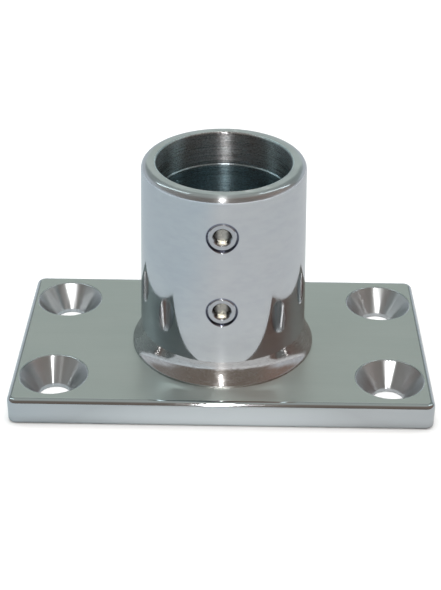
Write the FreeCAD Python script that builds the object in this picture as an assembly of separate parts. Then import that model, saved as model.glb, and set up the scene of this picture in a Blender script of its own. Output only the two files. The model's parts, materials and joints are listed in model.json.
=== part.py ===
# Stanchion base: a rail-tube socket welded upright on a rectangular deck plate.
#
# A tube is pushed down the socket's bore until it stands on the plate, and two set screws in the
# front wall clamp it. Four countersunk holes fasten the plate to the deck.
#
# Frame, in millimetres: origin at the middle of the plate's underside, +Z up along the bore, X along
# the plate's long side. The set screws are on the -Y side.

import FreeCAD, Part
import math
import os

from FreeCAD import Placement, Rotation, Vector

# Deck plate
PLATE_LENGTH = 81.5
PLATE_DEPTH = 46.5
PLATE_THICKNESS = 5.3
PLATE_CORNER_RADIUS = 1.8
PLATE_TOP_ROUND = 1.0
PLATE_BOTTOM_ROUND = 0.5
DRAIN_RADIUS = 10.0
DRAIN_CHAMFER = 0.6

# Deck screw holes, each a clearance hole for a 6 mm screw under a deep countersink
HOLE_SPACING_X = 65.5
HOLE_SPACING_Y = 28.2
HOLE_RADIUS = 3.2
COUNTERSINK_RADIUS = 6.65
COUNTERSINK_HALF_ANGLE = math.radians(37.5)
COUNTERSINK_MOUTH_ROUND = 0.4

# Tube socket
OVERALL_HEIGHT = 45.0
SOCKET_RIM_RADIUS = 15.7
SOCKET_FOOT_RADIUS = 16.55
TUBE_BORE_RADIUS = 12.75
LEAD_IN_RADIUS = 12.95
LEAD_IN_DEPTH = 6.8
RIM_ROUND = 1.4
RIM_INNER_ROUND = 0.3
WELD_PREP = 1.8

# Weld round the socket's foot, dressed hollow. Going down from its top it leans out of the socket wall
# in one long hollow, then turns over a small shoulder and drops upright to the plate. Angles are those
# of the surface from straight down. The first is not zero, so the weld has no feather edge.
WELD_HEIGHT = 4.8
WELD_TOP_ANGLE = math.radians(10)
WELD_SHOULDER_ANGLE = math.radians(32)
WELD_HOLLOW_RADIUS = 12.0
WELD_SHOULDER_RADIUS = 0.6

# Set screws, M6 by 2.8 mm long with a 3 mm hex socket and a cup point
SCREW_HEIGHTS = {"upper_set_screw": 36.8, "lower_set_screw": 21.2}
SCREW_RADIUS = 2.95
SCREW_LENGTH = 2.8
SCREW_HEAD_CHAMFER = 0.4
SCREW_POINT_CHAMFER = 0.7
SCREW_RECESS = 0.2
HEX_ACROSS_FLATS = 3.0
HEX_DEPTH = 1.6
HEX_DRILL_POINT = 0.5
HEX_MOUTH_RADIUS = 1.85
CUP_RADIUS = 1.5
CUP_DEPTH = 0.7
TAPPED_RADIUS = 3.0
TAPPED_MOUTH_RADIUS = 3.1

PLATE_TOP = PLATE_THICKNESS
OVERCUT = 1.0
Z_AXIS = Vector(0, 0, 1)
ORIGIN = Vector(0, 0, 0)


def section_point(radius, z):
    """A point of a turned section, in the XZ plane."""
    return Vector(radius, 0, z)


def line(start, end):
    return Part.LineSegment(start, end).toShape()


def polyline(points):
    return [line(start, end) for start, end in zip(points, points[1:])]


def turned(edges):
    """The solid that a closed section sweeps round the Z axis."""
    section = Part.Face(Part.Wire(edges))
    return section.revolve(ORIGIN, Z_AXIS, 360)


def turned_polygon(points):
    return turned(polyline([section_point(*p) for p in points + points[:1]]))


def bend(start, radius, start_angle, end_angle):
    """An arc in the XZ plane and its end. Its tangent's angles are from straight down, outwards."""
    swing = math.copysign(radius, end_angle - start_angle)

    def point_at(angle):
        across = math.cos(start_angle) - math.cos(angle)
        drop = math.sin(start_angle) - math.sin(angle)
        return start + swing * Vector(across, 0, drop)

    end = point_at(end_angle)
    return Part.Arc(start, point_at((start_angle + end_angle) / 2), end).toShape(), end


def socket_radius(z):
    """Outer radius of the socket's slightly tapered wall."""
    taper = (SOCKET_FOOT_RADIUS - SOCKET_RIM_RADIUS) / (OVERALL_HEIGHT - PLATE_TOP)
    return SOCKET_FOOT_RADIUS - taper * (z - PLATE_TOP)


def rounded_slab():
    """The plate before drilling: rounded corners, a soft top edge and a lightly broken bottom edge."""
    slab = Part.makeBox(
        PLATE_LENGTH, PLATE_DEPTH, PLATE_THICKNESS, Vector(-PLATE_LENGTH / 2, -PLATE_DEPTH / 2, 0)
    )
    corners = [e for e in slab.Edges if abs(e.tangentAt(e.FirstParameter).z) > 0.5]
    slab = slab.makeFillet(PLATE_CORNER_RADIUS, corners)
    top_edges = [e for e in slab.Edges if e.BoundBox.ZMin > PLATE_THICKNESS - 1e-6]
    slab = slab.makeFillet(PLATE_TOP_ROUND, top_edges)
    bottom_edges = [e for e in slab.Edges if e.BoundBox.ZMax < 1e-6]
    return slab.makeFillet(PLATE_BOTTOM_ROUND, bottom_edges)


def countersunk_hole():
    """Cutter for one deck screw hole on the Z axis: through hole, countersink and softened mouth."""
    countersink_depth = (COUNTERSINK_RADIUS - HOLE_RADIUS) / math.tan(COUNTERSINK_HALF_ANGLE)
    mouth_turn = math.pi / 2 - COUNTERSINK_HALF_ANGLE
    mouth_radius = COUNTERSINK_RADIUS + COUNTERSINK_MOUTH_ROUND * math.tan(mouth_turn / 2)
    mouth_edge = section_point(mouth_radius, PLATE_TOP)
    mouth, cone_top = bend(mouth_edge, COUNTERSINK_MOUTH_ROUND, -math.pi / 2, -COUNTERSINK_HALF_ANGLE)
    outline = [
        cone_top,
        section_point(HOLE_RADIUS, PLATE_TOP - countersink_depth),
        section_point(HOLE_RADIUS, -OVERCUT),
        section_point(0, -OVERCUT),
        section_point(0, PLATE_TOP + OVERCUT),
        section_point(mouth_radius, PLATE_TOP + OVERCUT),
        mouth_edge,
    ]
    return turned([mouth] + polyline(outline))


def drain_hole():
    """Cutter for the plate's middle hole, chamfered at both faces. The ledge round it stops the tube."""
    wide = DRAIN_RADIUS + DRAIN_CHAMFER + OVERCUT
    return turned_polygon(
        [
            (0, -OVERCUT),
            (wide, -OVERCUT),
            (DRAIN_RADIUS, DRAIN_CHAMFER),
            (DRAIN_RADIUS, PLATE_TOP - DRAIN_CHAMFER),
            (wide, PLATE_TOP + OVERCUT),
            (0, PLATE_TOP + OVERCUT),
        ]
    )


def make_base_plate():
    plate = rounded_slab().cut(drain_hole())
    for side_x in (-1, 1):
        for side_y in (-1, 1):
            hole = countersunk_hole()
            hole.translate(Vector(side_x * HOLE_SPACING_X / 2, side_y * HOLE_SPACING_Y / 2, 0))
            plate = plate.cut(hole)
    return plate


def front_cutter(height):
    """Cutter for one tapped hole through the socket's front wall, with a countersunk mouth."""
    crest = socket_radius(height)
    mouth_depth = TAPPED_MOUTH_RADIUS - TAPPED_RADIUS
    flare = TAPPED_MOUTH_RADIUS + OVERCUT
    cutter = turned_polygon(
        [
            (0, 0),
            (TAPPED_RADIUS, 0),
            (TAPPED_RADIUS, crest - mouth_depth),
            (flare, crest + OVERCUT),
            (0, crest + OVERCUT),
        ]
    )
    return placed_at_front(cutter, 0, height)


def placed_at_front(shape, distance, height):
    """Lays a shape made along +Z to point out of the socket's front, its base this far from the bore."""
    shape.Placement = Placement(Vector(0, -distance, height), Rotation(Vector(1, 0, 0), 90))
    return shape


def make_socket():
    rim_outer = section_point(socket_radius(OVERALL_HEIGHT - RIM_ROUND) - RIM_ROUND, OVERALL_HEIGHT)
    rim_round, shoulder = bend(rim_outer, RIM_ROUND, math.pi / 2, 0)
    mouth_edge = section_point(LEAD_IN_RADIUS + RIM_INNER_ROUND, OVERALL_HEIGHT)
    mouth_round, mouth_bottom = bend(mouth_edge, RIM_INNER_ROUND, -math.pi / 2, 0)
    lead_in_floor = OVERALL_HEIGHT - LEAD_IN_DEPTH
    step = LEAD_IN_RADIUS - TUBE_BORE_RADIUS
    outline = [
        shoulder,
        section_point(socket_radius(PLATE_TOP + WELD_PREP), PLATE_TOP + WELD_PREP),
        section_point(SOCKET_FOOT_RADIUS - WELD_PREP, PLATE_TOP),
        section_point(TUBE_BORE_RADIUS, PLATE_TOP),
        section_point(TUBE_BORE_RADIUS, lead_in_floor - step),
        section_point(LEAD_IN_RADIUS, lead_in_floor),
        mouth_bottom,
    ]
    edges = polyline(outline) + [mouth_round, line(mouth_edge, rim_outer), rim_round]
    socket = turned(edges)
    for height in SCREW_HEIGHTS.values():
        socket = socket.cut(front_cutter(height))
    return socket


def make_foot_weld():
    top_height = PLATE_TOP + WELD_HEIGHT
    top = section_point(socket_radius(top_height), top_height)
    hollow, below_hollow = bend(top, WELD_HOLLOW_RADIUS, WELD_TOP_ANGLE, WELD_SHOULDER_ANGLE)
    shoulder, below_shoulder = bend(below_hollow, WELD_SHOULDER_RADIUS, WELD_SHOULDER_ANGLE, 0)
    toe = section_point(below_shoulder.x, PLATE_TOP)
    root = section_point(SOCKET_FOOT_RADIUS - WELD_PREP, PLATE_TOP)
    prep_top = section_point(socket_radius(PLATE_TOP + WELD_PREP), PLATE_TOP + WELD_PREP)
    return turned([hollow, shoulder] + polyline([below_shoulder, toe, root, prep_top, top]))


def make_set_screw(height):
    """One set screw, made upright on its cup point, then laid into the socket's front wall."""
    shank = turned_polygon(
        [
            (0, CUP_DEPTH),
            (CUP_RADIUS, 0),
            (SCREW_RADIUS - SCREW_POINT_CHAMFER, 0),
            (SCREW_RADIUS, SCREW_POINT_CHAMFER),
            (SCREW_RADIUS, SCREW_LENGTH - SCREW_HEAD_CHAMFER),
            (SCREW_RADIUS - SCREW_HEAD_CHAMFER, SCREW_LENGTH),
            (0, SCREW_LENGTH),
        ]
    )
    corner_radius = HEX_ACROSS_FLATS / math.sqrt(3)
    hex_floor = SCREW_LENGTH - HEX_DEPTH
    angles = [math.radians(60 * i) for i in range(7)]
    corners = [Vector(corner_radius * math.cos(a), corner_radius * math.sin(a), hex_floor) for a in angles]
    hexagon = Part.Face(Part.makePolygon(corners)).extrude(Vector(0, 0, HEX_DEPTH + OVERCUT))
    drill_tip = Vector(0, 0, hex_floor - HEX_DRILL_POINT)
    drill_point = Part.makeCone(0, HEX_ACROSS_FLATS / 2, HEX_DRILL_POINT, drill_tip)
    mouth = Part.makeCone(
        HEX_MOUTH_RADIUS - HEX_DEPTH,
        HEX_MOUTH_RADIUS + OVERCUT,
        HEX_DEPTH + OVERCUT,
        Vector(0, 0, hex_floor),
    )
    screw = shank.cut(hexagon).cut(drill_point).cut(mouth)
    return placed_at_front(screw, socket_radius(height) - SCREW_RECESS - SCREW_LENGTH, height)


def main():
    os.makedirs("parts", exist_ok=True)
    solids = {
        "base_plate": make_base_plate(),
        "socket": make_socket(),
        "foot_weld": make_foot_weld(),
    }
    for name, height in SCREW_HEIGHTS.items():
        solids[name] = make_set_screw(height)
    for name, solid in solids.items():
        print(name, solid.isValid(), len(solid.Solids), "solids", round(solid.Volume, 1), "mm3")
        solid.exportStep(os.path.join("parts", name + ".step"))


main()
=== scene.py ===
"""Stanchion base in polished stainless steel, on a pale table under soft studio light."""

import json
import math

import bpy
from mathutils import Matrix, Vector


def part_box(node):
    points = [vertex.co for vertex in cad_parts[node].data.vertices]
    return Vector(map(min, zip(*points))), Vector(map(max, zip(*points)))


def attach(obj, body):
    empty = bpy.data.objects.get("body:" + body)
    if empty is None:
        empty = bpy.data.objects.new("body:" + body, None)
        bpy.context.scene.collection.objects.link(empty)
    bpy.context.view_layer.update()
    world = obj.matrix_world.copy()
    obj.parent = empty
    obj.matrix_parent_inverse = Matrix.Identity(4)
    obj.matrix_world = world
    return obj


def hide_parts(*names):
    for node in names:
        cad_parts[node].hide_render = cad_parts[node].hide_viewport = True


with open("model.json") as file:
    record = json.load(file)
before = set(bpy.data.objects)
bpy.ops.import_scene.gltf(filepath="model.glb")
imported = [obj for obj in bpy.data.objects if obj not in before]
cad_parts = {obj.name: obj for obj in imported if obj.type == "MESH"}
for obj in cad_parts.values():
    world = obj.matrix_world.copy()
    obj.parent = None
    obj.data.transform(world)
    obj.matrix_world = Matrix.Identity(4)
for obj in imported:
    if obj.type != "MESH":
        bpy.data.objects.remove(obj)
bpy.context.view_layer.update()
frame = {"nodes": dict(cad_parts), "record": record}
nodes = frame["nodes"]

# ---------------------------------------------------------------- sizes, from the frame where it holds them
MM = 0.001
plate_low, plate_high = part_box("base_plate")
socket_low, socket_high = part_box("socket")
bolts = next(m for m in frame["record"]["mounts"] if m["name"] == "deck_bolts")["dims"]
bore = next(m for m in frame["record"]["mounts"] if m["name"] == "tube_bore")["dims"]
HOLE_X = bolts["spacing_x_mm"] * MM / 2
HOLE_Y = bolts["spacing_y_mm"] * MM / 2
COUNTERSINK_EDGE = 6.75 * MM
CONE_RISE = 1.3
BORE_EDGE = bore["r_mm"] * MM + 0.6 * MM
LEAD_IN_FLOOR = socket_high[2] - 6.8 * MM
RIM_ROUND = 1.4 * MM
KEY_MOUTH = 1.85 * MM
TAPPED_RADIUS = 3.15 * MM
BORE_WRAP = 13.0 * MM
SOCKET_WRAP = 16.0 * MM
screw_boxes = {name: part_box(name) for name in ("upper_set_screw", "lower_set_screw")}
SCREW_HEIGHTS = [(low[2] + high[2]) / 2 for low, high in screw_boxes.values()]

# ---------------------------------------------------------------- where one finish, or a painted tint or shade, gives way to another
FINISH_BLEND = 0.3 * MM
TOP_BLEND = (0.006 * MM, 0.001 * MM)
UNDERSIDE_BLEND = (0.05 * MM, 0.2 * MM)
FOOT_BRUSHING = (11.5 * MM, 4.5 * MM)
TINT_CHANGE = 1.0 * MM
PAINTED_STREAK_SIDES = (4.0 * MM, 10.0 * MM)
KEY_PAINTED_SHADE_SIDES = (0.5 * MM, 1.3 * MM)


# ---------------------------------------------------------------- node helpers
class Shader:
    """A material or world node tree with short calls for the nodes it is built from."""

    def __init__(self, owner):
        owner.use_nodes = True
        self.tree = owner.node_tree
        self.tree.nodes.clear()

    def node(self, kind, **settings):
        made = self.tree.nodes.new(kind)
        for key, value in settings.items():
            setattr(made, key, value)
        return made

    def link(self, source, target):
        self.tree.links.new(source, target)

    def put(self, target, value):
        if isinstance(value, bpy.types.NodeSocket):
            self.link(value, target)
        else:
            target.default_value = value

    def math(self, operation, a, b=0.0):
        made = self.node("ShaderNodeMath", operation=operation)
        self.put(made.inputs[0], a)
        self.put(made.inputs[1], b)
        return made.outputs[0]

    def vector(self, operation, a, b=None):
        made = self.node("ShaderNodeVectorMath", operation=operation)
        self.put(made.inputs[0], a)
        if b is not None:
            self.put(made.inputs[1], b)
        return made.outputs["Value" if operation == "LENGTH" else "Vector"]

    def length(self, a, b):
        """How far the point (a, b) is from zero."""
        return self.math("SQRT", self.math("ADD", self.math("POWER", a, 2.0), self.math("POWER", b, 2.0)))

    def ramp(self, value, low, high, to_low=0.0, to_high=1.0, smooth=True):
        made = self.node("ShaderNodeMapRange", interpolation_type="SMOOTHSTEP" if smooth else "LINEAR")
        self.put(made.inputs["Value"], value)
        made.inputs["From Min"].default_value = low
        made.inputs["From Max"].default_value = high
        made.inputs["To Min"].default_value = to_low
        made.inputs["To Max"].default_value = to_high
        return made.outputs["Result"]

    def colours(self, value, stops):
        """Colours along a value that runs from 0 to 1. Each stop is a position and a colour."""
        made = self.node("ShaderNodeValToRGB")
        self.put(made.inputs["Fac"], value)
        while len(made.color_ramp.elements) < len(stops):
            made.color_ramp.elements.new(0.5)
        for element, (position, colour) in zip(made.color_ramp.elements, stops):
            element.position = position
            element.color = (*colour, 1)
        return made.outputs["Color"]

    def blend(self, share, first, second, kind="MIX"):
        """A mix of two colours, each plain or linked."""
        made = self.node("ShaderNodeMix", data_type="RGBA", blend_type=kind)
        self.put(made.inputs["Factor"], share)
        for target, value in ((made.inputs[6], first), (made.inputs[7], second)):
            self.put(target, value if isinstance(value, bpy.types.NodeSocket) else (*value, 1))
        return made.outputs[2]

    def times(self, colour, tint):
        """A colour multiplied by a tint."""
        return self.blend(1.0, colour, tint, "MULTIPLY")

    def combine(self, x, y, z):
        made = self.node("ShaderNodeCombineXYZ")
        for target, value in zip(made.inputs, (x, y, z)):
            self.put(target, value)
        return made.outputs["Vector"]

    def place(self):
        """The object's own coordinates, in metres, as a vector and as its three numbers."""
        where = self.node("ShaderNodeTexCoord").outputs["Object"]
        apart = self.node("ShaderNodeSeparateXYZ")
        self.link(where, apart.inputs[0])
        return where, apart.outputs["X"], apart.outputs["Y"], apart.outputs["Z"]

    def noise(self, where, scale, detail=2.0, roughness=0.5):
        """Noise with about scale features a metre. scale may differ along X, Y and Z."""
        sizes = scale if isinstance(scale, tuple) else (scale, scale, scale)
        stretched = self.vector("MULTIPLY", where, sizes)
        made = self.node("ShaderNodeTexNoise")
        self.link(stretched, made.inputs["Vector"])
        made.inputs["Scale"].default_value = 1.0
        made.inputs["Detail"].default_value = detail
        made.inputs["Roughness"].default_value = roughness
        return made.outputs["Fac"]

    def bump(self, height, distance, normal=None):
        made = self.node("ShaderNodeBump")
        made.inputs["Strength"].default_value = 1.0
        made.inputs["Distance"].default_value = distance
        self.link(height, made.inputs["Height"])
        if normal is not None:
            self.link(normal, made.inputs["Normal"])
        return made.outputs["Normal"]

    def steel(self, colour, roughness, normal, anisotropy=0.0, tangent=None):
        """Polished metal. The colour is plain unless it is a socket."""
        made = self.node("ShaderNodeBsdfPrincipled")
        made.inputs["Metallic"].default_value = 1.0
        self.put(made.inputs["Base Color"], colour)
        self.put(made.inputs["Roughness"], roughness)
        made.inputs["Anisotropic"].default_value = anisotropy
        if normal is not None:
            self.link(normal, made.inputs["Normal"])
        if tangent is not None:
            self.link(tangent, made.inputs["Tangent"])
        return made.outputs["BSDF"]

    def mix_shaders(self, share, first, second):
        made = self.node("ShaderNodeMixShader")
        self.put(made.inputs[0], share)
        self.link(first, made.inputs[1])
        self.link(second, made.inputs[2])
        return made.outputs[0]

    def finish(self, surface, kind="ShaderNodeOutputMaterial"):
        self.link(surface, self.node(kind).inputs["Surface"])


def tinted(shader, where, low, high, scale):
    """A colour that wanders between two close tints of steel."""
    return shader.blend(shader.noise(where, scale, 3.0), low, high)


def from_screws(shader, x, z):
    """Distance from the nearest set screw's axis."""
    heights = [shader.math("ABSOLUTE", shader.math("SUBTRACT", z, height)) for height in SCREW_HEIGHTS]
    return shader.vector("LENGTH", shader.combine(x, 0.0, shader.math("MINIMUM", *heights)))


# ---------------------------------------------------------------- steel
def plate_steel():
    """Plate with a satin top, polished edges and underside, fine lines along X and turned countersinks."""
    material = bpy.data.materials.new("plate_steel")
    s = Shader(material)
    where, x, y, z = s.place()
    lines = s.noise(where, (90, 5200, 5200), 2.0, 0.6)
    patches = s.noise(where, (70, 110, 110), 3.0, 0.55)
    waves = s.noise(where, (45, 90, 90), 1.0)
    colour = tinted(s, where, (0.63, 0.67, 0.64), (0.695, 0.73, 0.70), (60, 200, 200))
    roughness = s.math("ADD", s.ramp(patches, 0.3, 0.7, 0.42, 0.50), s.ramp(lines, 0.3, 0.7, 0.0, 0.06))
    normal = s.bump(waves, 0.04 * MM)
    normal = s.bump(lines, 0.0012 * MM, normal)
    face = s.steel(colour, roughness, normal, 0.6, s.combine(0.0, 1.0, 0.0))

    edge_colour = tinted(s, where, (0.60, 0.625, 0.635), (0.67, 0.685, 0.69), (50, 50, 300))
    edge_roughness = s.math("ADD", s.ramp(patches, 0.3, 0.7, 0.03, 0.05), s.ramp(lines, 0.3, 0.7, 0.0, 0.01))
    edge = s.steel(edge_colour, edge_roughness, s.bump(waves, 0.02 * MM))
    flat = s.ramp(z, plate_high[2] - TOP_BLEND[0], plate_high[2] - TOP_BLEND[1])
    plain = s.mix_shaders(flat, edge, face)

    from_x = s.math("SUBTRACT", s.math("ABSOLUTE", x), HOLE_X)
    from_y = s.math("SUBTRACT", s.math("ABSOLUTE", y), HOLE_Y)
    radius = s.length(from_x, from_y)
    out_x = s.math("MULTIPLY", s.math("SIGN", x), from_x)
    out_y = s.math("MULTIPLY", s.math("SIGN", y), from_y)
    down_cone = s.vector("NORMALIZE", s.combine(out_x, out_y, s.math("MULTIPLY", radius, CONE_RISE)))
    grooves = s.noise(s.combine(s.math("ADD", radius, z), 0.0, 0.0), 9000.0, 2.0)
    around = s.vector("NORMALIZE", s.combine(out_x, out_y, 0.0))
    apart = s.vector("MULTIPLY", where, (30.0, 60.0, 0.0))
    chatter = s.noise(s.vector("ADD", s.vector("MULTIPLY", around, (1.1, 1.1, 1.1)), apart), 1.0, 1.0, 0.5)
    turned_normal = s.bump(grooves, 0.0012 * MM)
    turned_normal = s.bump(chatter, 0.7 * MM, turned_normal)
    turned_roughness = s.ramp(grooves, 0.3, 0.7, 0.34, 0.42)
    turned = s.steel((0.68, 0.69, 0.70, 1), turned_roughness, turned_normal, 0.88, down_cone)
    inside = s.ramp(radius, COUNTERSINK_EDGE - FINISH_BLEND, COUNTERSINK_EDGE, 1.0, 0.0)
    above_underside = s.ramp(z, plate_low[2] + UNDERSIDE_BLEND[0], plate_low[2] + UNDERSIDE_BLEND[1])
    inside = s.math("MULTIPLY", inside, above_underside)
    s.finish(s.mix_shaders(inside, plain, turned))
    return material


def socket_steel():
    """Mirror-polished outside, part brushed at the rim and foot, with painted shade in the mouths of the
    tapped holes round the screws, and a turned bore tinted with painted reflection and shade.
    """
    material = bpy.data.materials.new("socket_steel")
    s = Shader(material)
    where, x, y, z = s.place()
    radius = s.length(x, y)
    turn = s.math("ARCTAN2", y, x)

    haze = s.noise(where, (130, 130, 420), 3.0, 0.55)
    scuffs = s.noise(s.combine(s.math("MULTIPLY", turn, SOCKET_WRAP), z, 0.0), (260, 5200, 1), 3.0, 0.6)
    waves = s.noise(where, (60, 60, 40), 1.0)
    roughness = s.math("ADD", s.ramp(haze, 0.3, 0.7, 0.035, 0.08), s.ramp(scuffs, 0.4, 0.7, 0.0, 0.05))
    normal = s.bump(waves, 0.05 * MM)
    normal = s.bump(scuffs, 0.0006 * MM, normal)
    colour = tinted(s, where, (0.645, 0.668, 0.69), (0.71, 0.71, 0.708), (110, 110, 160))
    mottle = s.ramp(s.noise(where, (420, 420, 900), 3.0, 0.6), 0.35, 0.7, 0.0, 0.5)
    colour = s.blend(mottle, colour, s.times(colour, (0.90, 0.90, 0.92)))
    polished = s.steel(colour, roughness, normal)
    brushed = s.steel(colour, s.ramp(scuffs, 0.3, 0.7, 0.32, 0.38), normal, 1.0, s.combine(0.0, 0.0, 1.0))
    on_rim = s.ramp(z, socket_high[2] - RIM_ROUND, socket_high[2] - RIM_ROUND * 0.6, 0.02, 0.48)
    by_foot = s.ramp(z, socket_low[2] + FOOT_BRUSHING[0], socket_low[2] + FOOT_BRUSHING[1], 0.0, 0.16)
    outside = s.mix_shaders(s.math("ADD", on_rim, by_foot), polished, brushed)
    from_axis = from_screws(s, x, z)
    in_front = s.ramp(y, 0.0, -1.0 * MM)
    # Painted shade: round each set screw, inside the mouth of its tapped hole, the outside steel gives way to
    # a dark bluish steel.
    tapped = s.math("MULTIPLY", s.ramp(from_axis, TAPPED_RADIUS, TAPPED_RADIUS - 0.1 * MM), in_front)
    painted_shade_steel = s.steel((0.40, 0.41, 0.48, 1), 0.22, normal)
    outside = s.mix_shaders(tapped, outside, painted_shade_steel)

    round_bore = s.math("MULTIPLY", turn, BORE_WRAP)
    unrolled = s.combine(round_bore, z, 0.0)
    cuts = s.noise(s.combine(round_bore, 0.0, z), (70, 1, 9000), 3.0, 0.7)
    chatter = s.noise(unrolled, (2200, 3600, 1), 2.0, 0.7)
    bore_normal = s.bump(cuts, 0.01 * MM)
    bore_normal = s.bump(chatter, 0.03 * MM, bore_normal)
    bore_roughness = s.ramp(cuts, 0.3, 0.7, 0.25, 0.33)
    stains = s.noise(unrolled, (170, 420, 1), 3.0, 0.6)
    # Painted reflection and shade in the bore: a warm tint down the middle where the highlight streak runs,
    # bluer to the sides, and darker blue-green below the lead-in. These colours stand in for the room
    # mirrored in the bore.
    aside = s.ramp(s.math("ABSOLUTE", x), *PAINTED_STREAK_SIDES)
    middle = s.blend(stains, (0.86, 0.80, 0.80), (0.92, 0.98, 1.0))
    painted_reflection_above = s.blend(aside, middle, s.blend(stains, (0.78, 0.96, 1.0), (0.92, 1.0, 1.0)))
    # Painted shade: darker and blue-green below the lead-in.
    below = s.blend(stains, (0.36, 0.52, 0.58), (0.50, 0.66, 0.72))
    in_lead_in = s.ramp(z, LEAD_IN_FLOOR - TINT_CHANGE, LEAD_IN_FLOOR + TINT_CHANGE)
    bore_colour = s.blend(in_lead_in, below, painted_reflection_above)
    # Darker between the turning marks and the chatter: partly the marks' own tone, partly a painted sparkle
    # on the bore's highlight.
    for marks, tint in ((cuts, (0.82, 0.78, 0.77)), (chatter, (0.72, 0.72, 0.72))):
        bore_colour = s.blend(s.ramp(marks, 0.43, 0.57), s.times(bore_colour, tint), bore_colour)
    bored = s.steel(bore_colour, bore_roughness, bore_normal, 1.0, s.combine(0.0, 0.0, 1.0))
    inside = s.ramp(radius, BORE_EDGE - 0.2 * MM, BORE_EDGE, 1.0, 0.0)
    s.finish(s.mix_shaders(inside, outside, bored))
    return material


def weld_steel():
    """Foot weld dressed by hand: polished, part brushed, with a slow waviness round it."""
    material = bpy.data.materials.new("weld_steel")
    s = Shader(material)
    where = s.place()[0]
    lumps = s.noise(where, (170, 170, 120), 2.0)
    marks = s.noise(where, (700, 700, 2600), 3.0, 0.6)
    dents = s.noise(where, (620, 620, 500), 1.0)
    normal = s.bump(lumps, 0.04 * MM)
    normal = s.bump(dents, 0.007 * MM, normal)
    normal = s.bump(marks, 0.0005 * MM, normal)
    colour = tinted(s, where, (0.66, 0.63, 0.61), (0.72, 0.70, 0.685), (150, 150, 300))
    polished = s.steel(colour, s.ramp(marks, 0.3, 0.7, 0.07, 0.13), normal)
    brushed = s.steel(colour, s.ramp(marks, 0.3, 0.7, 0.34, 0.42), normal, 1.0, s.combine(0.0, 0.0, 1.0))
    s.finish(s.mix_shaders(s.ramp(marks, 0.3, 0.7, 0.12, 0.28), polished, brushed))
    return material


def screw_steel():
    """Machined set screw: bright face, and a key socket coloured darker with a straw tint, its side walls
    painted nearly black as shade.
    """
    material = bpy.data.materials.new("screw_steel")
    s = Shader(material)
    where, x, _, z = s.place()
    grain = s.noise(where, 6000.0, 3.0, 0.6)
    stains = s.noise(where, 900.0, 2.0)
    normal = s.bump(grain, 0.004 * MM)
    bright = tinted(s, where, (0.50, 0.51, 0.53), (0.62, 0.63, 0.65), 900.0)
    dull = tinted(s, where, (0.30, 0.29, 0.265), (0.60, 0.58, 0.52), 1400.0)
    # Painted shade: the key socket's side walls go nearly black.
    dull = s.blend(s.ramp(s.math("ABSOLUTE", x), *KEY_PAINTED_SHADE_SIDES), dull, (0.09, 0.085, 0.08))
    from_axis = from_screws(s, x, z)
    socket = s.ramp(from_axis, KEY_MOUTH - FINISH_BLEND, KEY_MOUTH, 1.0, 0.0)
    roughness = s.math("ADD", s.ramp(stains, 0.3, 0.7, 0.14, 0.26), s.math("MULTIPLY", socket, 0.04))
    s.finish(s.steel(s.blend(socket, bright, dull), roughness, normal))
    return material


# ---------------------------------------------------------------- threaded set screws
HEX_FLATS = 3.0 * MM
HEX_DEPTH = 1.6 * MM
DRILL_DEPTH = 2.1 * MM
FACE_CHAMFER = 0.4 * MM
POINT_CHAMFER = 0.7 * MM
CUP_RADIUS = 1.5 * MM
CUP_DEPTH = 0.7 * MM
THREAD_PITCH = 1.0 * MM
THREAD_DEPTH = 0.55 * MM
THREAD_RUN_OUT = 0.25 * THREAD_PITCH
FLANK_SLOPE = 2.6
CREST_WIDTH = 0.3
DRILL_MOUTH = 0.98 * HEX_FLATS / 2
FLOOR_SHARE = 0.999
SHARP_ANGLE = math.radians(28)
AROUND = 72
ROWS_PER_PITCH = 14


def thread_radius(crest, depth, angle, low, high):
    """Outside radius of the screw this far below its face: a V thread that runs out at both ends."""
    turn = (depth / THREAD_PITCH + angle / math.tau) % 1.0
    flank = min(max(abs(turn - 0.5) * FLANK_SLOPE - CREST_WIDTH, 0.0), 1.0)
    fade = min((depth - low) / THREAD_RUN_OUT, (high - depth) / THREAD_RUN_OUT, 1.0)
    return crest - THREAD_DEPTH * flank * max(fade, 0.0)


def screw_rings(crest, length):
    """Rings of (radius, depth) pairs, from the middle of the key socket's floor round to the cup point."""
    angles = [math.tau * i / AROUND for i in range(AROUND)]
    hexagon = [HEX_FLATS / 2 / math.cos((a + math.pi / 6) % (math.pi / 3) - math.pi / 6) for a in angles]
    rings = [
        [(DRILL_MOUTH, HEX_DEPTH)] * AROUND,
        [(r * FLOOR_SHARE, HEX_DEPTH) for r in hexagon],
        [(r, KEY_MOUTH - r) for r in hexagon],
        [(KEY_MOUTH, 0.0)] * AROUND,
        [(crest - FACE_CHAMFER, 0.0)] * AROUND,
    ]
    low, high = FACE_CHAMFER, length - POINT_CHAMFER
    rows = round((high - low) / THREAD_PITCH * ROWS_PER_PITCH)
    for row in range(rows + 1):
        depth = low + (high - low) * row / rows
        rings.append([(thread_radius(crest, depth, a, low, high), depth) for a in angles])
    rings.append([(crest - POINT_CHAMFER, length)] * AROUND)
    rings.append([(CUP_RADIUS, length)] * AROUND)
    return angles, rings


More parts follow.
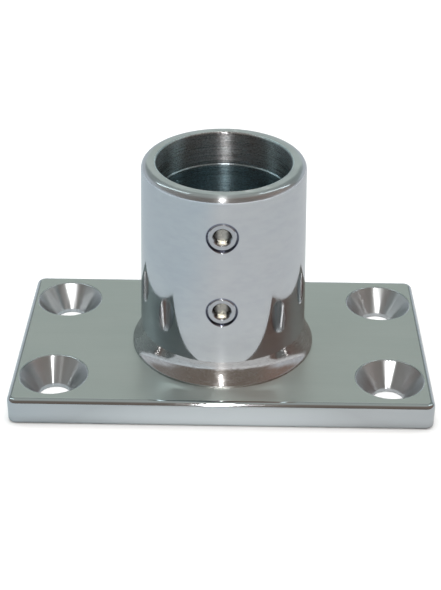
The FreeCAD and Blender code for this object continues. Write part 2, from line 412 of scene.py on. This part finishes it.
def threaded_screw(name, node, body):
    """Stands for a plain CAD screw: the same size and place, with its thread cut."""
    low, high = screw_boxes[node]
    crest = (high[0] - low[0]) / 2
    length = high[1] - low[1]
    middle = (low[2] + high[2]) / 2
    angles, rings = screw_rings(crest, length)
    verts = [(0.0, low[1] + DRILL_DEPTH, middle)]
    for ring in rings:
        for angle, (radius, depth) in zip(angles, ring):
            verts.append((radius * math.sin(angle), low[1] + depth, middle + radius * math.cos(angle)))
    verts.append((0.0, low[1] + length - CUP_DEPTH, middle))
    last = len(verts) - 1
    faces = []
    for i in range(AROUND):
        j = (i + 1) % AROUND
        faces.append((0, 1 + j, 1 + i))
        faces.append((last, last - AROUND + i, last - AROUND + j))
        for ring in range(len(rings) - 1):
            start = 1 + ring * AROUND
            faces.append((start + i, start + j, start + AROUND + j, start + AROUND + i))
    mesh = bpy.data.meshes.new(name)
    mesh.from_pydata(verts, [], faces)
    mesh.materials.append(finishes[node])
    mesh.shade_smooth()
    mesh.set_sharp_from_angle(angle=SHARP_ANGLE)
    made = bpy.data.objects.new(name, mesh)
    bpy.context.scene.collection.objects.link(made)
    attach(made, body)
    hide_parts(node)


finishes = {
    "base_plate": plate_steel(),
    "socket": socket_steel(),
    "foot_weld": weld_steel(),
}
finishes["upper_set_screw"] = finishes["lower_set_screw"] = screw_steel()
for name, material in finishes.items():
    mesh = nodes[name].data
    if not mesh.materials:
        mesh.materials.append(material)
    for index in range(len(mesh.materials)):
        mesh.materials[index] = material
threaded_screw("upper_threaded_screw", "upper_set_screw", "upper_screw")
threaded_screw("lower_threaded_screw", "lower_set_screw", "lower_screw")


# ---------------------------------------------------------------- studio
FLOOR_HALF = 3.0
FLOOR_GAP = 0.02 * MM
FLOOR_SHADES = (0.025, 0.325)
CARD_DISTANCE = 0.8
CARD_AIM = Vector((0, 0, 0.02))


def plain_mesh(name, corners, material):
    mesh = bpy.data.meshes.new(name)
    mesh.from_pydata(corners, [], [tuple(range(len(corners)))])
    mesh.materials.append(material)
    made = bpy.data.objects.new(name, mesh)
    bpy.context.scene.collection.objects.link(made)
    return made


def floor_material():
    """Pale table. The camera sees it white, and the metal sees it grey, darkest in a ring round the base:
    painted shade, standing in for light falling off across the table.
    """
    material = bpy.data.materials.new("pale_floor")
    s = Shader(material)
    where, x, _, _ = s.place()
    seen = s.node("ShaderNodeBsdfDiffuse")
    seen.inputs["Color"].default_value = (0.90, 0.90, 0.90, 1)
    mirrored = s.node("ShaderNodeBsdfDiffuse")
    away = s.ramp(s.vector("LENGTH", where), *FLOOR_SHADES, smooth=False)
    # Painted shade: seen in the metal, the table is darkest in a ring round the base and lighter far off,
    # standing in for light falling off across it.
    painted_shade_near_to_far = [
        (0.0, (0.76, 0.80, 0.82)),
        (0.043, (0.53, 0.55, 0.56)),
        (0.14, (0.50, 0.52, 0.54)),
        (0.333, (0.495, 0.52, 0.54)),
        (0.60, (0.68, 0.71, 0.75)),
        (1.0, (0.82, 0.85, 0.89)),
    ]
    # Painted shade: the left half is seen a little darker and bluer.
    left = s.blend(s.ramp(x, 0.0, -0.06), (1, 1, 1), (0.88, 0.96, 1.0))
    s.link(s.times(s.colours(away, painted_shade_near_to_far), left), mirrored.inputs["Color"])
    path = s.node("ShaderNodeLightPath")
    s.finish(s.mix_shaders(path.outputs["Is Camera Ray"], mirrored.outputs[0], seen.outputs[0]))
    return material


def glow_material(name, colour, strength):
    material = bpy.data.materials.new(name)
    s = Shader(material)
    made = s.node("ShaderNodeEmission")
    made.inputs["Color"].default_value = (*colour, 1)
    made.inputs["Strength"].default_value = strength
    s.finish(made.outputs[0])
    return material


def card(name, azimuth, elevation, width, height, colour, strength):
    """A lit card facing the object. Azimuth 0 stands at -Y, and 90 at +X. The camera doesn't see it."""
    a, e = math.radians(azimuth), math.radians(elevation)
    away = Vector((math.sin(a) * math.cos(e), -math.cos(a) * math.cos(e), math.sin(e)))
    centre = CARD_AIM + away * CARD_DISTANCE
    side = away.cross(Vector((0, 0, 1))).normalized()
    up = side.cross(away).normalized()
    corners = [
        centre + side * (sx * width / 2) + up * (sy * height / 2)
        for sx, sy in ((-1, -1), (1, -1), (1, 1), (-1, 1))
    ]
    made = plain_mesh(name, corners, glow_material(name, colour, strength))
    made.visible_camera = False
    made.visible_shadow = False


floor_corners = [
    (sx * FLOOR_HALF, sy * FLOOR_HALF, -FLOOR_GAP)
    for sx, sy in ((-1, -1), (1, -1), (1, 1), (-1, 1))
]
plain_mesh("floor", floor_corners, floor_material())
card("flash", -1, 42, width=0.012, height=0.012, colour=(1.0, 0.99, 0.97), strength=2350.0)
card("front_strip", -1, 34, width=0.014, height=0.75, colour=(0.97, 0.99, 1.0), strength=30.0)
card("left_strip", -112, 50, width=0.08, height=0.50, colour=(0.80, 0.97, 1.0), strength=3.2)
card("right_strip", 110, 50, width=0.05, height=0.50, colour=(0.80, 0.97, 1.0), strength=4.0)


SECOND_REFLECTION = (2.4, 2.6)


def studio_world():
    """The room that the metal sees: a grey-green wall behind, dark and warm in front and to the right.

    Second and later reflections see it dimmer, and redder on the right.
    """
    world = bpy.data.worlds.new("studio")
    bpy.context.scene.world = world
    s = Shader(world)
    apart = s.node("ShaderNodeSeparateXYZ")
    s.link(s.node("ShaderNodeTexCoord").outputs["Generated"], apart.inputs[0])
    x, y, z = apart.outputs

    path = s.node("ShaderNodeLightPath")
    deep = s.ramp(path.outputs["Ray Depth"], *SECOND_REFLECTION)
    left = s.blend(deep, (0.21, 0.195, 0.185), (0.12, 0.13, 0.135))
    right = s.blend(deep, (0.24, 0.175, 0.15), (0.23, 0.11, 0.08))
    side_wall = s.blend(deep, (0.26, 0.30, 0.295), (0.05, 0.07, 0.07))
    front_sides = s.blend(s.ramp(x, -0.3, 0.35), left, right)
    room = s.blend(s.ramp(y, -0.35, -0.8), front_sides, (0.17, 0.145, 0.125))
    ceiling = s.ramp(s.math("ADD", z, s.math("MULTIPLY", y, 0.35)), 0.62, 0.95)
    room = s.blend(ceiling, room, (0.40, 0.435, 0.42))
    aside = s.math("ADD", s.math("ABSOLUTE", x), s.math("MULTIPLY", z, 0.75))
    back = s.blend(s.ramp(aside, 0.53, 0.63), (0.54, 0.615, 0.575), side_wall)
    back = s.blend(s.ramp(z, 0.75, 0.92), back, (0.42, 0.46, 0.445))
    beside = s.ramp(s.math("SUBTRACT", y, s.math("MULTIPLY", x, 0.25)), 0.15, 0.55)
    low = s.math("MULTIPLY", s.ramp(z, 0.42, 0.22), beside)
    horizon = s.math("MULTIPLY", s.ramp(z, 0.15, 0.05), s.ramp(y, -0.60, -0.25))
    low = s.math("MAXIMUM", low, horizon)
    room = s.blend(s.ramp(y, 0.10, 0.50), room, back)
    room = s.blend(low, room, (0.56, 0.61, 0.66))
    dimmed = s.blend(s.ramp(x, -0.2, 0.3), (0.42, 0.50, 0.53), (0.60, 0.40, 0.33))
    room = s.blend(deep, room, s.times(room, dimmed))
    mirrored = s.node("ShaderNodeBackground")
    s.link(room, mirrored.inputs["Color"])
    paper = s.node("ShaderNodeBackground")
    paper.inputs["Color"].default_value = (0.97, 0.97, 0.97, 1)
    mixed = s.mix_shaders(path.outputs["Is Camera Ray"], mirrored.outputs[0], paper.outputs[0])
    s.finish(mixed, "ShaderNodeOutputWorld")


studio_world()


def area_light(name, place, size, power):
    data = bpy.data.lights.new(name, "AREA")
    data.shape = "DISK"
    data.size = size
    data.energy = power
    made = bpy.data.objects.new(name, data)
    bpy.context.scene.collection.objects.link(made)
    made.location = place
    made.rotation_mode = "QUATERNION"
    made.rotation_quaternion = (Vector((0, 0, 0)) - Vector(place)).to_track_quat("-Z", "Y")
    made.visible_glossy = False
    made.visible_camera = False


area_light("table_light", place=(0.0, 0.1, 0.9), size=1.0, power=9.0)


# ---------------------------------------------------------------- camera
CAMERA_ELEVATION = math.radians(30.20)
CAMERA_YAW = math.radians(0.725)
CAMERA_ROLL = math.radians(0.45)
CAMERA_DISTANCE = 0.26435
CAMERA_TARGET = Vector((0, 0, 0.02027))
CAMERA_LENS = 81.39
CAMERA_SENSOR = 36.0
CAMERA_SHIFT = (-0.00454, -0.03669)

forward = Vector(
    (
        -math.sin(CAMERA_YAW) * math.cos(CAMERA_ELEVATION),
        math.cos(CAMERA_YAW) * math.cos(CAMERA_ELEVATION),
        -math.sin(CAMERA_ELEVATION),
    )
)
level_right = forward.cross(Vector((0, 0, 1))).normalized()
level_up = level_right.cross(forward)
right = level_right * math.cos(CAMERA_ROLL) + level_up * math.sin(CAMERA_ROLL)
up = level_up * math.cos(CAMERA_ROLL) - level_right * math.sin(CAMERA_ROLL)
turn = Matrix((right, up, -forward)).transposed()

camera_data = bpy.data.cameras.new("camera")
camera_data.lens = CAMERA_LENS
camera_data.sensor_width = CAMERA_SENSOR
camera_data.shift_x, camera_data.shift_y = CAMERA_SHIFT
camera_data.clip_start = 0.01
camera_data.clip_end = 20.0
camera = bpy.data.objects.new("camera", camera_data)
bpy.context.scene.collection.objects.link(camera)
camera.matrix_world = Matrix.Translation(CAMERA_TARGET - forward * CAMERA_DISTANCE) @ turn.to_4x4()
bpy.context.scene.camera = camera
bpy.context.scene.view_settings.view_transform = "Standard"
